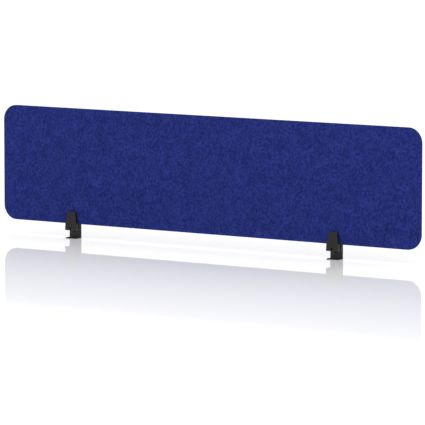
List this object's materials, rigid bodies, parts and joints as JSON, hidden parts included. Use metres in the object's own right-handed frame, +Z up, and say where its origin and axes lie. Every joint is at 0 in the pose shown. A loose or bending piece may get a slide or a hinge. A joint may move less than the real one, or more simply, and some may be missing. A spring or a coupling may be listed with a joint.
{
  "type": "desk privacy panel",
  "caption": "Navy felt privacy screen with rounded corners, held on a desk edge by slip-on black clamps whose front jaws grip the board and whose folded brackets close under the desk top.",
  "frame": {"origin": "middle of the board's length and thickness, at the underside of the clamps' lower brackets; the front jaws stand 3 mm further from the board's mid-plane than the clamp bodies do, so the bounding box's middle lies 1.5 mm towards -Y of this origin", "axes": "+X along the board, +Y away from the person at the desk, +Z up"},
  "size_m": [1.7, 0.037, 0.4503],
  "materials": {
    "felt": "pressed polyester felt, navy blue, mottled",
    "clamp_plastic": "satin black moulded plastic",
    "bracket_steel": "black powder coat",
    "pad_rubber": "matt black rubber",
    "screw_steel": "black oxide",
    "zinc_steel": "zinc plated"
  },
  "bodies": {
    "panel": {"felt_panel": "felt"},
    "left_clamp": {"left_clamp_body": "clamp_plastic", "left_rear_cover": "clamp_plastic", "left_cover_screws": "screw_steel", "left_rear_jaw_pad": "pad_rubber", "left_desk_pad": "pad_rubber", "left_jaw_nut": "zinc_steel", "left_guide_pins": "zinc_steel", "left_height_nut": "zinc_steel"},
    "left_jaw": {"left_front_jaw": "clamp_plastic", "left_front_jaw_pad": "pad_rubber", "left_jaw_washer": "zinc_steel"},
    "left_jaw_drive": {"left_jaw_screw": "screw_steel", "left_jaw_screw_ring": "screw_steel"},
    "left_bracket": {"left_desk_bracket": "bracket_steel", "left_lower_pad": "pad_rubber"},
    "left_height_drive": {"left_height_screw": "screw_steel"},
    "right_clamp": {"right_clamp_body": "clamp_plastic", "right_rear_cover": "clamp_plastic", "right_cover_screws": "screw_steel", "right_rear_jaw_pad": "pad_rubber", "right_desk_pad": "pad_rubber", "right_jaw_nut": "zinc_steel", "right_guide_pins": "zinc_steel", "right_height_nut": "zinc_steel"},
    "right_jaw": {"right_front_jaw": "clamp_plastic", "right_front_jaw_pad": "pad_rubber", "right_jaw_washer": "zinc_steel"},
    "right_jaw_drive": {"right_jaw_screw": "screw_steel", "right_jaw_screw_ring": "screw_steel"},
    "right_bracket": {"right_desk_bracket": "bracket_steel", "right_lower_pad": "pad_rubber"},
    "right_height_drive": {"right_height_screw": "screw_steel"}
  },
  "joints": [
    {"name": "left_clamp_slide", "type": "slide", "parent": "panel", "child": "left_clamp", "axis": [1, 0, 0], "range_m": [-0.22, 0.45]},
    {"name": "left_jaw_slide", "type": "slide", "parent": "left_clamp", "child": "left_jaw", "axis": [0, -1, 0], "range_m": [0, 0.003]},
    {"name": "left_jaw_screw_turn", "type": "hinge", "parent": "left_jaw", "child": "left_jaw_drive", "pos_m": [-0.553, -0.0155, 0.036], "axis": [0, -1, 0], "range_deg": [0, 1543.5]},
    {"name": "left_bracket_lift", "type": "slide", "parent": "left_clamp", "child": "left_bracket", "axis": [0, 0, 1], "range_m": [0, 0.012]},
    {"name": "left_height_screw_turn", "type": "hinge", "parent": "left_bracket", "child": "left_height_drive", "pos_m": [-0.553, 0.01295, 0.005], "axis": [0, 0, 1], "range_deg": [0, 8642]},
    {"name": "right_clamp_slide", "type": "slide", "parent": "panel", "child": "right_clamp", "axis": [1, 0, 0], "range_m": [-0.45, 0.255]},
    {"name": "right_jaw_slide", "type": "slide", "parent": "right_clamp", "child": "right_jaw", "axis": [0, -1, 0], "range_m": [0, 0.003]},
    {"name": "right_jaw_screw_turn", "type": "hinge", "parent": "right_jaw", "child": "right_jaw_drive", "pos_m": [0.517, -0.0155, 0.036], "axis": [0, -1, 0], "range_deg": [0, 1543.5]},
    {"name": "right_bracket_lift", "type": "slide", "parent": "right_clamp", "child": "right_bracket", "axis": [0, 0, 1], "range_m": [0, 0.012]},
    {"name": "right_height_screw_turn", "type": "hinge", "parent": "right_bracket", "child": "right_height_drive", "pos_m": [0.517, 0.01295, 0.005], "axis": [0, 0, 1], "range_deg": [0, 8642]}
  ],
  "couplings": [
    {"joint": "left_jaw_screw_turn", "follows": "left_jaw_slide", "rad_per_m": 8976},
    {"joint": "left_height_screw_turn", "follows": "left_bracket_lift", "rad_per_m": 12566},
    {"joint": "right_jaw_screw_turn", "follows": "right_jaw_slide", "rad_per_m": 8976},
    {"joint": "right_height_screw_turn", "follows": "right_bracket_lift", "rad_per_m": 12566}
  ]
}
